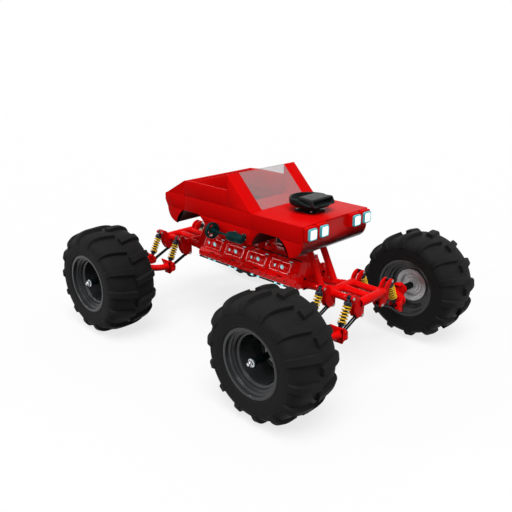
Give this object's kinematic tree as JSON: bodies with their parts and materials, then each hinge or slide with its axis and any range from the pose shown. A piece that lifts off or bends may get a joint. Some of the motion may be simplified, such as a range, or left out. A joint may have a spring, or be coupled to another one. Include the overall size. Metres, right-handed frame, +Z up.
{
  "type": "monster truck",
  "caption": "Open-topped monster truck with a red moulded body, tall balloon tyres, coil-over shocks and a long engine slung below the shell",
  "frame": {"origin": "on the ground, midway between the four wheels", "axes": "+X forwards, +Y to the truck's left, +Z up"},
  "size_m": [5.2898, 4.238, 2.6449],
  "materials": {
    "rubber_tyre": "moulded rubber",
    "rim_paint": "satin dark grey coat",
    "hub_alloy": "machined",
    "red_chassis": "gloss powder coat",
    "black_coat": "satin powder coat",
    "yellow_spring": "gloss powder coat",
    "red_engine": "gloss engine enamel",
    "screen_glass": "clear laminated",
    "lamp_glass": "frosted white lens",
    "intake_plastic": "moulded",
    "seat_vinyl": "moulded vinyl",
    "red_body": "gloss gelcoat over glass fibre"
  },
  "bodies": {
    "chassis": {"carriers": "red_chassis", "lower_links": "black_coat", "dampers": "black_coat", "coil_springs": "yellow_spring", "front_frame": "red_chassis", "rear_frame": "red_chassis", "shock_towers": "red_chassis", "body_supports": "red_chassis", "engine_block": "red_engine", "cylinder_heads": "red_engine", "intake_pipes": "red_engine", "sump_tray": "black_coat", "side_drive": "black_coat", "hood": "red_body", "cowl": "red_body", "front_panel": "red_body", "fenders": "red_body", "cab_sides": "red_body", "rear_quarters": "red_body", "tail_section": "red_body", "bulkheads": "red_body", "floor_pan": "red_body", "arch_liners": "red_body", "pillars": "red_body", "windscreen": "screen_glass", "headlamp_housings": "red_body", "headlamps": "lamp_glass", "air_intake": "intake_plastic", "seat": "seat_vinyl"},
    "upright_fr": {"knuckle_fr": "red_chassis"},
    "wheel_fr": {"tyre_fr": "rubber_tyre", "rim_fr": "rim_paint", "hub_fr": "hub_alloy"},
    "upright_fl": {"knuckle_fl": "red_chassis"},
    "wheel_fl": {"tyre_fl": "rubber_tyre", "rim_fl": "rim_paint", "hub_fl": "hub_alloy"},
    "upright_rr": {"knuckle_rr": "red_chassis"},
    "wheel_rr": {"tyre_rr": "rubber_tyre", "rim_rr": "rim_paint", "hub_rr": "hub_alloy"},
    "upright_rl": {"knuckle_rl": "red_chassis"},
    "wheel_rl": {"tyre_rl": "rubber_tyre", "rim_rl": "rim_paint", "hub_rl": "hub_alloy"}
  },
  "joints": [
    {"name": "steer_fr", "type": "hinge", "parent": "chassis", "child": "upright_fr", "pos_m": [1.807, -1.16, 0.838], "axis": [0, 0, 1], "range_deg": [-20, 20]},
    {"name": "roll_fr", "type": "hinge", "parent": "upright_fr", "child": "wheel_fr", "pos_m": [1.807, -1.699, 0.838], "axis": [0, 1, 0], "continuous": true},
    {"name": "steer_fl", "type": "hinge", "parent": "chassis", "child": "upright_fl", "pos_m": [1.807, 1.16, 0.838], "axis": [0, 0, 1], "range_deg": [-20, 20]},
    {"name": "roll_fl", "type": "hinge", "parent": "upright_fl", "child": "wheel_fl", "pos_m": [1.807, 1.699, 0.838], "axis": [0, 1, 0], "continuous": true},
    {"name": "steer_rr", "type": "hinge", "parent": "chassis", "child": "upright_rr", "pos_m": [-1.807, -1.16, 0.838], "axis": [0, 0, 1], "range_deg": [-20, 20]},
    {"name": "roll_rr", "type": "hinge", "parent": "upright_rr", "child": "wheel_rr", "pos_m": [-1.807, -1.699, 0.838], "axis": [0, 1, 0], "continuous": true},
    {"name": "steer_rl", "type": "hinge", "parent": "chassis", "child": "upright_rl", "pos_m": [-1.807, 1.16, 0.838], "axis": [0, 0, 1], "range_deg": [-20, 20]},
    {"name": "roll_rl", "type": "hinge", "parent": "upright_rl", "child": "wheel_rl", "pos_m": [-1.807, 1.699, 0.838], "axis": [0, 1, 0], "continuous": true}
  ],
  "couplings": [
    {"joint": "steer_fl", "follows": "steer_fr", "ratio": 1},
    {"joint": "steer_rl", "follows": "steer_rr", "ratio": 1}
  ]
}
